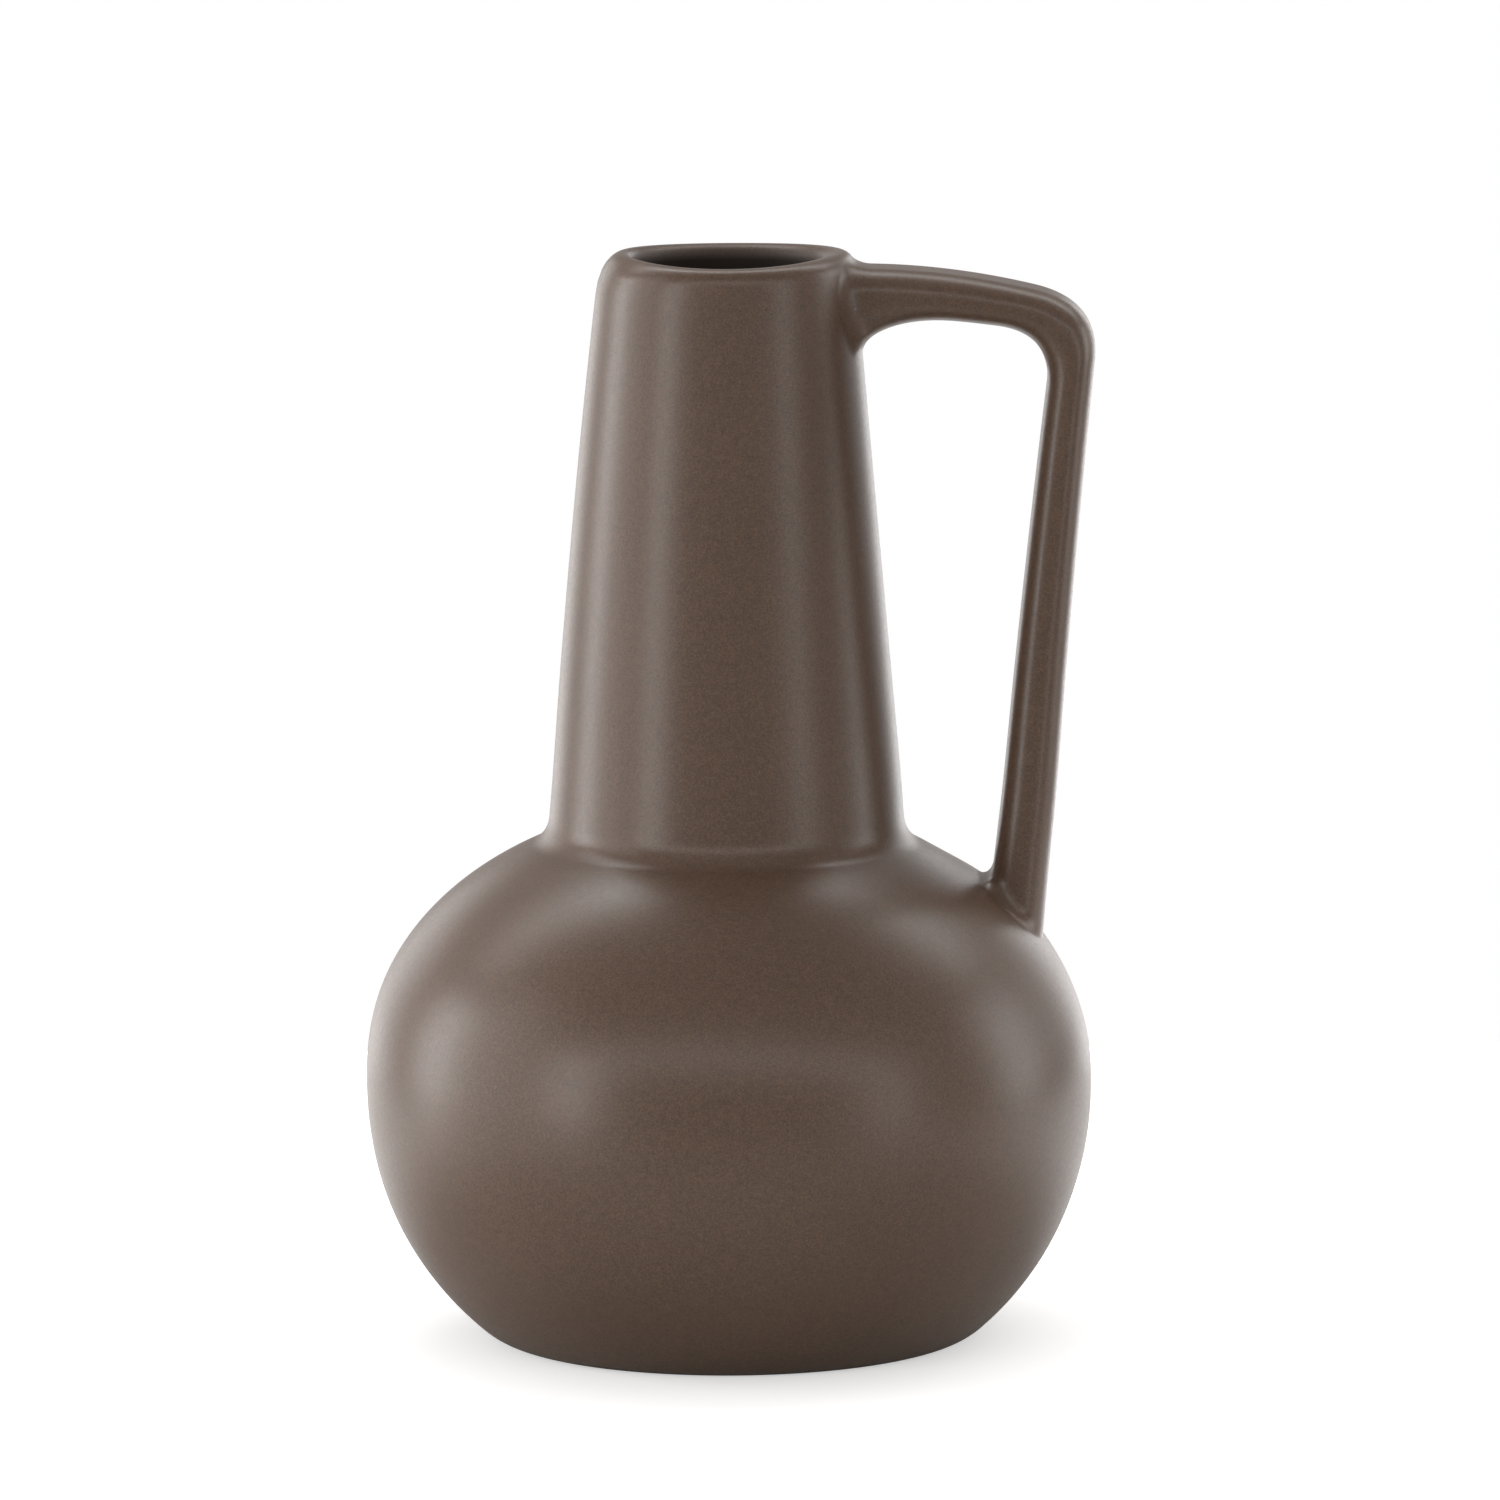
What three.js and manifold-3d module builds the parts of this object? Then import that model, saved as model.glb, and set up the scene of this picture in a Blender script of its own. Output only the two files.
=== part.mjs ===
// A stoneware vase: a round belly, a long tapered neck with a thick round lip, and one flat strap handle.
// The three shaped pieces are stuck together with joining clay, glazed all over and fired.
// Millimetres, +Z up. The origin is on the vase's axis, in the plane that it stands on. The handle is towards +X.

import * as THREE from 'three';
import { mergeVertices } from 'three/addons/utils/BufferGeometryUtils.js';
import Module from 'manifold-3d';

// Belly
const bellyRadius = 100; // widest girth
const girthHeight = 71.6; // height of the widest girth above the floor
const bowlDepth = 92; // half axis of the curve below the girth
const bowlFullness = 2.12; // exponent of that curve: 2 is an ellipse, more is squarer
const shoulderRise = 75.8; // half axis of the curve above the girth
const shoulderFullness = 2.12; // exponent of that curve
const footRound = 3.7; // width of the round edge between the standing face and the bowl
const footLift = 3.3; // height of that round edge
const bellyWall = 6;
const floorThickness = 8;
const openingEdge = 3.5; // thickness of the shoulder at the edge of its opening

// Neck
const neckLength = 156.8; // from the neck's foot to the crest of the lip
const neckFootRadius = 48.9;
const neckTopRadius = 35.2; // where the lip's rounding starts
const neckBulge = 0.7; // how far the neck's side swells from a straight cone, half way up
const neckWall = 8;
const lipWall = 9.2; // from the neck's top radius in to the mouth
const lipRise = 7.5; // height of the lip's outer rounding
const lipRoll = 3.2; // width and height of the lip's inner rounding

// Handle
const strapWidth = 28;
const edgeRound = 5; // rounding of the strap's edges, nearly half its thickness
const armThickness = 11.9; // at the neck
const armDrop = 4.45; // from the crest of the lip down to the top of the arm
const armSag = 5.9; // how far the top of the arm drops between the neck and its bend
const underSag = 4.3; // the same for its underside
const fingerGap = 54; // clear space between the neck and the top of the limb
const limbThickness = 11.65; // below the bend
const limbFootThickness = 14.5; // where the limb lands on the shoulder
const limbBow = 0.3; // how far the limb's faces bow towards the neck, half way down
const footInset = 13.1; // from the widest girth in to the limb's outer face at its landing
const outerBend = 17.3; // how far the bend's outside reaches along the arm
const outerBendDrop = 21.7; // and down the limb
const innerBend = 12.7; // the same for its inside
const innerBendDrop = 14.6;
const rootDepth = 14; // how far the limb is drawn on below its landing, before it is trimmed to the shoulder
const underFlareLength = 24; // the soft flare under the arm, out from the neck
const underFlareDrop = 11; // and down the neck

// Joining clay
const clayThickness = 3; // pads under the ends of the handle
const collarHeight = 4.9; // ring under the neck
const collarSpread = 3.7; // how far the ring spreads out past the neck's foot
const filletReach = 4; // how far the pads' soft edges run out along the strap
const filletSpread = 1.8; // how far they spread past it, above the arm and inside the limb
const gap = 0.3; // film between pieces that touch

// Fineness
const turnSegments = 56;
const curveSteps = 10; // along the long curves of a turned profile
const edgeSteps = 3; // along the short ones
const strapStep = 3.5; // along the strap's outline
const strapRows = 4; // across the strap's flat
const roundSteps = 3; // around its long edges

// Worked out from the sizes above
const seatRadius = neckFootRadius + collarSpread;
const seatHeight = shoulderHeight(seatRadius, 0);
const throatRadius = neckFootRadius - neckWall;
const neckFoot = seatHeight + gap + collarHeight + gap;
const rimHeight = neckFoot + neckLength;
const lipStart = rimHeight - lipRise;
const mouthRadius = neckTopRadius - lipWall;
const armTop = rimHeight - armDrop;
const clayTop = gap + clayThickness;
const strapStart = clayTop + gap;

const wasm = await Module();
wasm.setup();

// Radius of the bowl at a height below the girth, on the outside or a wall's thickness in.
function bowlRadius(height, wall) {
  const share = (girthHeight - height) / (bowlDepth - wall);
  return (bellyRadius - wall) * (1 - share ** bowlFullness) ** (1 / bowlFullness);
}

// Height of the shoulder at a radius, and its radius at a height.
function shoulderHeight(radius, wall) {
  const share = radius / (bellyRadius - wall);
  return girthHeight + (shoulderRise - wall) * (1 - share ** shoulderFullness) ** (1 / shoulderFullness);
}

function shoulderRadius(height, wall) {
  const share = (height - girthHeight) / (shoulderRise - wall);
  return (bellyRadius - wall) * (1 - share ** shoulderFullness) ** (1 / shoulderFullness);
}

// The belly's side from one height below the girth to one radius above it, as radius and height.
function bellySide(low, topRadius, wall) {
  const points = [];
  const radius = bellyRadius - wall;
  const depth = bowlDepth - wall;
  const rise = shoulderRise - wall;
  const lowTurn = Math.asin(((girthHeight - low) / depth) ** (bowlFullness / 2));
  const topTurn = Math.acos((topRadius / radius) ** (shoulderFullness / 2));
  for (let i = 0; i < curveSteps; i++) {
    const turn = lowTurn * (1 - i / curveSteps);
    const out = radius * Math.cos(turn) ** (2 / bowlFullness);
    points.push(new THREE.Vector2(out, girthHeight - depth * Math.sin(turn) ** (2 / bowlFullness)));
  }
  for (let i = 0; i <= curveSteps; i++) {
    const turn = topTurn * (i / curveSteps);
    const out = radius * Math.cos(turn) ** (2 / shoulderFullness);
    points.push(new THREE.Vector2(out, girthHeight + rise * Math.sin(turn) ** (2 / shoulderFullness)));
  }
  return points;
}

function bellyOutside() {
  const path = new THREE.Path();
  path.moveTo(bowlRadius(0, 0) - footRound, 0);
  path.quadraticCurveTo(bowlRadius(0, 0), 0, bowlRadius(footLift, 0), footLift);
  return [...path.getPoints(edgeSteps).slice(0, -1), ...bellySide(footLift, seatRadius, 0)];
}

function bellyProfile() {
  const openingRadius = shoulderRadius(seatHeight - openingEdge, bellyWall);
  return [
    new THREE.Vector2(0, 0),
    ...bellyOutside(),
    new THREE.Vector2(openingRadius, seatHeight),
    ...bellySide(floorThickness, openingRadius, bellyWall).reverse(),
    new THREE.Vector2(0, floorThickness),
  ];
}

// The neck's side is a cone with a slight swell, and runs on smoothly into the lip.
const neckSide = new THREE.QuadraticBezierCurve(
  new THREE.Vector2(neckFootRadius, neckFoot),
  new THREE.Vector2((neckFootRadius + neckTopRadius) / 2 + 2 * neckBulge, (neckFoot + lipStart) / 2),
  new THREE.Vector2(neckTopRadius, lipStart),
);

function neckOutside() {
  const slope = neckSide.getTangent(1);
  const lip = new THREE.QuadraticBezierCurve(
    neckSide.v2,
    new THREE.Vector2(neckTopRadius + (slope.x / slope.y) * lipRise, rimHeight),
    new THREE.Vector2(mouthRadius + lipRoll, rimHeight),
  );
  return [...neckSide.getPoints(curveSteps).slice(0, -1), ...lip.getPoints(edgeSteps * 2)];
}

function neckProfile() {
  const inside = new THREE.Path();
  const boreTop = rimHeight - lipRoll;
  const boreMiddle = (mouthRadius + throatRadius) / 2 + 2 * neckBulge;
  inside.moveTo(mouthRadius + lipRoll, rimHeight);
  inside.quadraticCurveTo(mouthRadius, rimHeight, mouthRadius, boreTop);
  inside.quadraticCurveTo(boreMiddle, (boreTop + neckFoot) / 2, throatRadius, neckFoot);
  const outside = neckOutside();
  return [...outside, ...inside.getPoints(edgeSteps * 2).slice(1), outside[0]];
}

// The ring of clay under the neck fills the crease with a hollow curve.
function collarProfile() {
  const bottom = seatHeight + gap;
  const top = bottom + collarHeight;
  const crease = new THREE.QuadraticBezierCurve(
    new THREE.Vector2(seatRadius, bottom),
    new THREE.Vector2(neckFootRadius, bottom + collarHeight / 4),
    new THREE.Vector2(neckFootRadius, top),
  );
  const corner = new THREE.Vector2(throatRadius, bottom);
  return [corner, ...crease.getPoints(edgeSteps), new THREE.Vector2(throatRadius, top), corner];
}

function turned(profile) {
  return new THREE.LatheGeometry(profile, turnSegments).rotateX(Math.PI / 2);
}

// Moves an outline that runs upwards out along its own normals.
function grown(outline, distance) {
  return outline.map((point, i) => {
    const before = outline[Math.max(i - 1, 0)];
    const after = outline[Math.min(i + 1, outline.length - 1)];
    const along = after.clone().sub(before).normalize();
    return new THREE.Vector2(point.x + along.y * distance, point.y - along.x * distance);
  });
}

function asSolid(geometry) {
  geometry.deleteAttribute('normal');
  geometry.deleteAttribute('uv');
  const merged = mergeVertices(geometry);
  const vertProperties = new Float32Array(merged.attributes.position.array);
  const triVerts = new Uint32Array(merged.index.array);
  return new wasm.Manifold(new wasm.Mesh({ numProp: 3, vertProperties, triVerts }));
}

function asGeometry(solid) {
  const mesh = solid.getMesh();
  const geometry = new THREE.BufferGeometry();
  geometry.setAttribute('position', new THREE.BufferAttribute(mesh.vertProperties, 3));
  geometry.setIndex(new THREE.BufferAttribute(mesh.triVerts, 1));
  geometry.computeVertexNormals();
  return geometry;
}

// A filled copy of the neck or the belly, grown by a distance, for trimming what is stuck to it.
function trimmer(outline, distance) {
  const out = grown(outline, distance);
  const bottom = new THREE.Vector2(0, out[0].y);
  const top = new THREE.Vector2(0, out[out.length - 1].y);
  return asSolid(turned([bottom, ...out, top]));
}

// The arm's arch is a parabola: its drop at a distance from the axis, and the control point of a stretch of it.
const bendStart = neckTopRadius + fingerGap + limbThickness - outerBend;
const archSpan = bendStart - neckTopRadius;

function archDrop(x, sag) {
  return sag * ((x - neckTopRadius) / archSpan) ** 2;
}

function archControl(from, to, top, sag) {
  const pull = (sag * (from - neckTopRadius) * (to - neckTopRadius)) / archSpan ** 2;
  return new THREE.Vector2((from + to) / 2, top - pull);
}

// Where two lines cross, each given by a point and a direction.
function crossing(pointA, alongA, pointB, alongB) {
  const between = pointB.clone().sub(pointA);
  const share = between.cross(alongB) / alongA.cross(alongB);
  return pointA.clone().addScaledVector(alongA, share);
}

// The limb's outer and inner faces, each from its top to its landing on the shoulder.
const bendEnd = armTop - armSag - outerBendDrop;
const landing = bellyRadius - footInset;
const landingHeight = shoulderHeight(landing, 0);
const outerFace = new THREE.LineCurve(
  new THREE.Vector2(neckTopRadius + fingerGap + limbThickness, bendEnd),
  new THREE.Vector2(landing, landingHeight),
);
const innerFace = new THREE.LineCurve(
  new THREE.Vector2(neckTopRadius + fingerGap, bendEnd),
  new THREE.Vector2(landing - limbFootThickness, landingHeight),
);

function faceAt(face, height) {
  return face.getPoint((face.v1.y - height) / (face.v1.y - face.v2.y));
}

// The strap's side outline, drawn on into the neck and the belly with round ends, where it is trimmed later.
function strapOutline() {
  const roundEnd = 2 / 3; // control length of a half round, as a share of its width
  const root = landingHeight - rootDepth;
  const armUnder = armTop - armThickness;
  const innerStart = neckTopRadius + fingerGap - innerBend;
  const topStart = new THREE.Vector2(mouthRadius, armTop - archDrop(mouthRadius, armSag));
  const topEnd = new THREE.Vector2(bendStart, armTop - archDrop(bendStart, armSag));
  const underStart = new THREE.Vector2(mouthRadius, armUnder - archDrop(mouthRadius, underSag));
  const underEnd = new THREE.Vector2(innerStart, armUnder - archDrop(innerStart, underSag));
  const topControl = archControl(mouthRadius, bendStart, armTop, armSag);
  const underControl = archControl(mouthRadius, innerStart, armUnder, underSag);
  const topAlong = topEnd.clone().sub(topControl);
  const underAlong = underEnd.clone().sub(underControl);
  const outerTop = outerFace.v1;
  const innerTop = faceAt(innerFace, underEnd.y - innerBendDrop);
  const outerCorner = crossing(topEnd, topAlong, outerTop, outerFace.getTangent(0));
  const innerCorner = crossing(underEnd, underAlong, innerTop, innerFace.getTangent(0));
  const outerRoot = faceAt(outerFace, root);
  const innerRoot = faceAt(innerFace, root);
  const outerBow = outerTop.clone().lerp(outerRoot, 0.5);
  const innerBow = innerTop.clone().lerp(innerRoot, 0.5);
  const rootTip = root - roundEnd * (outerRoot.x - innerRoot.x);
  const armTip = mouthRadius - roundEnd * armThickness;
  const path = new THREE.Path();
  path.moveTo(topStart.x, topStart.y);
  path.quadraticCurveTo(topControl.x, topControl.y, topEnd.x, topEnd.y);
  path.quadraticCurveTo(outerCorner.x, outerCorner.y, outerTop.x, outerTop.y);
  path.quadraticCurveTo(outerBow.x - 2 * limbBow, outerBow.y, outerRoot.x, outerRoot.y);
  path.bezierCurveTo(outerRoot.x, rootTip, innerRoot.x, rootTip, innerRoot.x, innerRoot.y);
  path.quadraticCurveTo(innerBow.x - 2 * limbBow, innerBow.y, innerTop.x, innerTop.y);
  path.quadraticCurveTo(innerCorner.x, innerCorner.y, underEnd.x, underEnd.y);
  path.quadraticCurveTo(underControl.x, underControl.y, underStart.x, underStart.y);
  path.bezierCurveTo(armTip, underStart.y, armTip, topStart.y, topStart.x, topStart.y);
  return path.curves.flatMap((curve) => {
    const steps = Math.ceil(curve.getLength() / strapStep);
    return curve.getSpacedPoints(steps).slice(0, -1);
  });
}

// Share of a hollow quarter round: none at its reach, whole at the surface and below it.
function hollow(distance, reach) {
  const near = THREE.MathUtils.clamp(1 - distance / reach, 0, 1);
  return 1 - Math.sqrt(1 - near ** 2);
}

// Radius of the neck's side at a height, with the lip above it taken as straight.
function neckRadius(height) {
  const share = (height - neckFoot) / (lipStart - neckFoot);
  const straight = THREE.MathUtils.lerp(neckFootRadius, neckTopRadius, share);
  return straight + 4 * neckBulge * share * (1 - share);
}

// Distance of a point from the shoulder, near enough close to it.
function shoulderDistance(radius, height) {
  const out = radius / bellyRadius;
  const up = (height - girthHeight) / shoulderRise;
  const power = shoulderFullness - 1;
  const steep = Math.hypot(out ** power / bellyRadius, up ** power / shoulderRise) * shoulderFullness;
  return (out ** shoulderFullness + up ** shoulderFullness - 1) / steep;
}

// Spreads the ends of the strap where they meet the neck and the shoulder.
function spreadEnds(position) {
  for (let i = 0; i < position.count; i++) {
    const point = new THREE.Vector3().fromBufferAttribute(position, i);
    const radius = Math.hypot(point.x, point.y);
    const onArm = point.z > bendEnd && point.x < bendStart;
    if (onArm) {
      const distance = radius - neckRadius(point.z);
      const spread = filletSpread * hollow(distance, filletReach);
      const middle = armTop - armThickness / 2 - archDrop(Math.max(point.x, neckTopRadius), armSag);
      const up = (point.z - middle) / (armThickness / 2);
      const down = spread + underFlareDrop * hollow(distance, underFlareLength);
      point.z += up * (up > 0 ? spread : down);
    } else if (point.z < bendEnd) {
      const distance = shoulderDistance(radius, point.z);
      const spread = filletSpread * hollow(distance, filletReach);
      const outer = faceAt(outerFace, point.z).x;
      const inner = faceAt(innerFace, point.z).x;
      const out = (2 * point.x - outer - inner) / (outer - inner);
      point.x += Math.min(out, 0) * spread;
    }
    position.setXYZ(i, point.x, point.y, point.z);
  }
}

function strapSolid() {
  const round = Math.min(edgeRound, 0.43 * armThickness, 0.43 * limbThickness); // leaves a narrow flat
  const geometry = new THREE.ExtrudeGeometry(new THREE.Shape(strapOutline()), {
    depth: strapWidth - 2 * round,
    steps: strapRows,
    bevelThickness: round,
    bevelSize: round,
    bevelOffset: -round,
    bevelSegments: roundSteps,
  });
  geometry.translate(0, 0, round - strapWidth / 2);
  geometry.rotateX(Math.PI / 2);
  spreadEnds(geometry.attributes.position);
  return asSolid(geometry);
}

function glazed(colour, roughness) {
  return new THREE.MeshStandardMaterial({ color: colour, roughness, metalness: 0 });
}

const vase = new THREE.Group();

function addPiece(name, geometry, material) {
  const mesh = new THREE.Mesh(geometry, material);
  mesh.name = name;
  vase.add(mesh);
}

const strap = strapSolid();
const neckTrim = trimmer(neckOutside(), gap);
const bellyTrim = trimmer(bellyOutside(), gap);
const neckClay = trimmer(neckOutside(), clayTop);
const bellyClay = trimmer(bellyOutside(), clayTop);
const neckStart = trimmer(neckOutside(), strapStart);
const bellyStart = trimmer(bellyOutside(), strapStart);

addPiece('belly', turned(bellyProfile()), glazed(0x5b4b43, 0.5));
addPiece('neck_luting', turned(collarProfile()), glazed(0x5a4a42, 0.52));
addPiece('neck', turned(neckProfile()), glazed(0x5c4c44, 0.5));
addPiece('upper_luting', asGeometry(strap.intersect(neckClay).subtract(neckTrim)), glazed(0x5a4a42, 0.52));
addPiece('handle', asGeometry(strap.subtract(neckStart).subtract(bellyStart)), glazed(0x57463d, 0.5));
addPiece('lower_luting', asGeometry(strap.intersect(bellyClay).subtract(bellyTrim)), glazed(0x5a4a42, 0.52));

export default vase;
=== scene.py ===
# A stoneware vase with a strap handle, in satin brown glaze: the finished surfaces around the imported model.
import math

import bmesh
import bpy
import numpy as np
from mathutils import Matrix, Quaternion, Vector


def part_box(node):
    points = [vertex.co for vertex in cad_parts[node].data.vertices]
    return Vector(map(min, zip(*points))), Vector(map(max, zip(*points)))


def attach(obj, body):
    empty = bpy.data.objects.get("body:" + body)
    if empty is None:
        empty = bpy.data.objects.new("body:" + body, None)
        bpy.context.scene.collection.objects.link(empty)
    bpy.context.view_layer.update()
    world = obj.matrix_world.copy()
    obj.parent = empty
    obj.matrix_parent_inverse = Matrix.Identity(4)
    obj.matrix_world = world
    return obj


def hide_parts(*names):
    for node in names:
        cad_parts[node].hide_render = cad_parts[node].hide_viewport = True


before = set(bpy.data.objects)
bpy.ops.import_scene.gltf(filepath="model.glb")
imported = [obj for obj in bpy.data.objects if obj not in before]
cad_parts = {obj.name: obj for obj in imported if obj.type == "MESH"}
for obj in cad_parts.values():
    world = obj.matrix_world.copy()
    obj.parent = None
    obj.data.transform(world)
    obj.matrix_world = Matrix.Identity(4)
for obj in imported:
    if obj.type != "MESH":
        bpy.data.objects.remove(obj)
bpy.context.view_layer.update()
mm = 0.001  # every size below is in millimetres
print("frame loaded:", len(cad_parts), "nodes")


def boxOf(node):
    low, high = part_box(node)
    return np.array(low) / mm, np.array(high) / mm


bellyTop = boxOf("belly")[1]
neckBottom, neckTop = boxOf("neck")

# Turned shapes: outlines are rows of radius and height, from the foot upwards


def bezier(points, steps):
    t = np.linspace(0, 1, steps + 1)[:, None]
    a, b, c = (np.array(p, float) for p in points)
    return (1 - t) ** 2 * a + 2 * t * (1 - t) * b + t ** 2 * c


belly = {
    "radius": bellyTop[0],
    "girthHeight": 71.6,  # the widest girth above the table
    "bowlDepth": 92.0,  # half axis of the curve below the girth
    "bowlFullness": 2.12,  # 2 is an ellipse, more is squarer
    "shoulderRise": 75.8,  # half axis of the curve above the girth
    "shoulderFullness": 2.12,
    "footRound": 3.7,  # round edge of the standing face: width and height
    "footLift": 3.3,
    "wall": 6.0,
    "floor": 8.0,
    "creaseRadius": 54.0,  # where the shoulder turns up into the neck
    "openingRadius": 45.0,
    "steps": 56,  # of the bowl, and of the shoulder
    "edgeSteps": 10,
}


def roundedSide(radius, reach, fullness, turns):
    # part of a superellipse, as distances out from the axis and away from the girth
    out = radius * np.cos(turns) ** (2 / fullness)
    away = reach * np.sin(turns) ** (2 / fullness)
    return out, away


def bellySide(low, topRadius, wall):
    radius = belly["radius"] - wall
    depth = belly["bowlDepth"] - wall
    rise = belly["shoulderRise"] - wall
    lowTurn = math.asin(((belly["girthHeight"] - low) / depth) ** (belly["bowlFullness"] / 2))
    topTurn = math.acos((topRadius / radius) ** (belly["shoulderFullness"] / 2))
    share = np.linspace(0, 1, belly["steps"] + 1)
    out, away = roundedSide(radius, depth, belly["bowlFullness"], lowTurn * (1 - share))
    bowl = np.column_stack([out, belly["girthHeight"] - away])
    out, away = roundedSide(radius, rise, belly["shoulderFullness"], topTurn * share)
    shoulder = np.column_stack([out, belly["girthHeight"] + away])
    return np.vstack([bowl[:-1], shoulder])


def bellyOutside():
    lowest = bellySide(0, belly["creaseRadius"], 0)[0, 0]
    side = bellySide(belly["footLift"], belly["creaseRadius"], 0)
    edge = bezier([(lowest - belly["footRound"], 0), (lowest, 0), side[0]], belly["edgeSteps"])
    return np.vstack([edge[:-1], side])


neck = {
    "footRadius": neckTop[0],
    "foot": neckBottom[2],
    "rim": neckTop[2],
    "topRadius": 35.2,  # where the lip's rounding starts
    "bulge": 0.45,  # how far the side swells from a straight cone, half way up
    "wall": 8.0,
    "lipWall": 9.2,
    "lipRise": 4.65,  # height of the lip's outer rounding
    "lipRoll": 4.5,  # width and height of its inner rounding
    "creaseTop": 1.8,  # the crease's hollow ends this far above the neck's foot
    "creaseClear": 0.5,  # from there to the next point of the side, at least
    "steps": 48,
    "lipSteps": 24,
    "rollSteps": 16,
    "boreSteps": 32,
    "creaseSteps": 24,
}


def neckOutside():
    lipStart = neck["rim"] - neck["lipRise"]
    swell = (neck["footRadius"] + neck["topRadius"]) / 2 + 2 * neck["bulge"]
    ends = [
        (neck["footRadius"], neck["foot"]),
        (swell, (neck["foot"] + lipStart) / 2),
        (neck["topRadius"], lipStart),
    ]
    side = bezier(ends, neck["steps"])
    lean = (ends[2][0] - ends[1][0]) / (ends[2][1] - ends[1][1])
    mouth = neck["topRadius"] - neck["lipWall"]
    corner = (neck["topRadius"] + lean * neck["lipRise"], neck["rim"])
    lip = bezier([ends[2], corner, (mouth + neck["lipRoll"], neck["rim"])], neck["lipSteps"])
    return np.vstack([side, lip[1:]])


def neckInside():
    mouth = neck["topRadius"] - neck["lipWall"]
    boreTop = neck["rim"] - neck["lipRoll"]
    throat = neck["footRadius"] - neck["wall"]
    middle = ((mouth + throat) / 2 + 2 * neck["bulge"], (boreTop + neck["foot"]) / 2)
    crest = (mouth + neck["lipRoll"], neck["rim"])
    roll = bezier([crest, (mouth, neck["rim"]), (mouth, boreTop)], neck["rollSteps"])
    bore = bezier([(mouth, boreTop), middle, (throat, neck["foot"])], neck["boreSteps"])
    return np.vstack([roll[1:], bore[1:]])


def crease():
    # hollow curve that runs on from the shoulder and into the neck's side
    start, before = bellyOutside()[-1], bellyOutside()[-2]
    side = neckOutside()
    top = neck["foot"] + neck["creaseTop"]
    end = np.array([np.interp(top, side[:, 1], side[:, 0]), top])
    up = side[1] - side[0]
    along = start - before
    share = np.linalg.solve(np.column_stack([along, -up]), end - start)[0]
    return bezier([start, start + along * share, end], neck["creaseSteps"])


creaseLine = crease()
bellyLine = bellyOutside()
neckLine = neckOutside()
aboveCrease = neckLine[:, 1] > creaseLine[-1, 1] + neck["creaseClear"]
neckLine = np.vstack([creaseLine[-1], neckLine[aboveCrease]])
outside = np.vstack([bellyLine, creaseLine[1:], neckLine[1:]])
print("outline drawn:", len(outside), "points, rim at", round(outside[:, 1].max(), 1))

# Firing moved the clay a little: the belly leans, the shoulder sank under the handle, the rim is not level

firing = {
    "heights": [0, 40, 60, 80, 100, 130, 148, 185, 270, 285, 300],
    # shift towards the handle at those heights
    "lean": [0.85, 0.16, 0.1, -0.05, -0.55, -0.45, -0.1, -0.15, 0.4, 0.65, 0.95],
    "sag": 1.2,  # of the shoulder, and where
    "sagRadius": 62.0,
    "sagHeight": 132.0,
    "sagReach": 12.0,
    "rimTilt": 0.5,  # the rim stands higher at the sides and lower in front and behind
    "rimDip": 0.5,  # lowest in front
    "rimReach": 30.0,  # from this far below the rim
    "lipWorn": 2.3,  # the lip's edge is softer away from the handle
    "lipRadius": 33.0,  # where, out from the axis and down from the rim, and how far around
    "lipDepth": 0.8,
    "lipReach": 4.9,
}


def smoothThrough(places, values, at):
    # a curve without kinks through the given values
    slopes = np.gradient(values, places)
    i = np.clip(np.searchsorted(places, at) - 1, 0, len(places) - 2)
    places, values = np.array(places, float), np.array(values, float)
    width = places[i + 1] - places[i]
    t = (at - places[i]) / width
    bend = t * (1 - t) * width * ((1 - t) * slopes[i] - t * slopes[i + 1])
    step = t ** 2 * (3 - 2 * t)
    return values[i] + (values[i + 1] - values[i]) * step + bend


def fired(points):
    # the points after firing
    moved = np.array(points, float)
    x, y, z = moved[..., 0], moved[..., 1], moved[..., 2]
    radius = np.hypot(x, y)
    away = np.hypot(radius - firing["sagRadius"], z - firing["sagHeight"]) / firing["sagReach"]
    turn = x / np.maximum(radius, 1)
    sunk = firing["sag"] * np.clip(turn, 0, 1) ** 4 * np.exp(-away ** 2)
    depth = neck["rim"] - z
    top = np.clip(1 - depth / firing["rimReach"], 0, 1) ** 2
    front = np.clip(-y / np.maximum(radius, 1), 0, 1)
    tilt = firing["rimTilt"] * (2 * turn ** 2 - 1) - firing["rimDip"] * front ** 2
    moved[..., 2] = z - sunk + tilt * top
    beside = np.hypot(depth - firing["lipDepth"], radius - firing["lipRadius"]) / firing["lipReach"]
    worn = firing["lipWorn"] * np.clip(-turn, 0, 1) ** 2 * np.exp(-beside ** 2)
    shrink = 1 - worn / np.maximum(radius, 1)
    moved[..., 0] = x * shrink + smoothThrough(firing["heights"], firing["lean"], z)
    moved[..., 1] = y * shrink
    return moved


# Meshes: rings of points joined one to the next, closed by two middle points or back to the first ring

turnSteps = 256  # around the axis
sharpAngle = 40  # degrees: edges beyond it stay crisp


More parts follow.
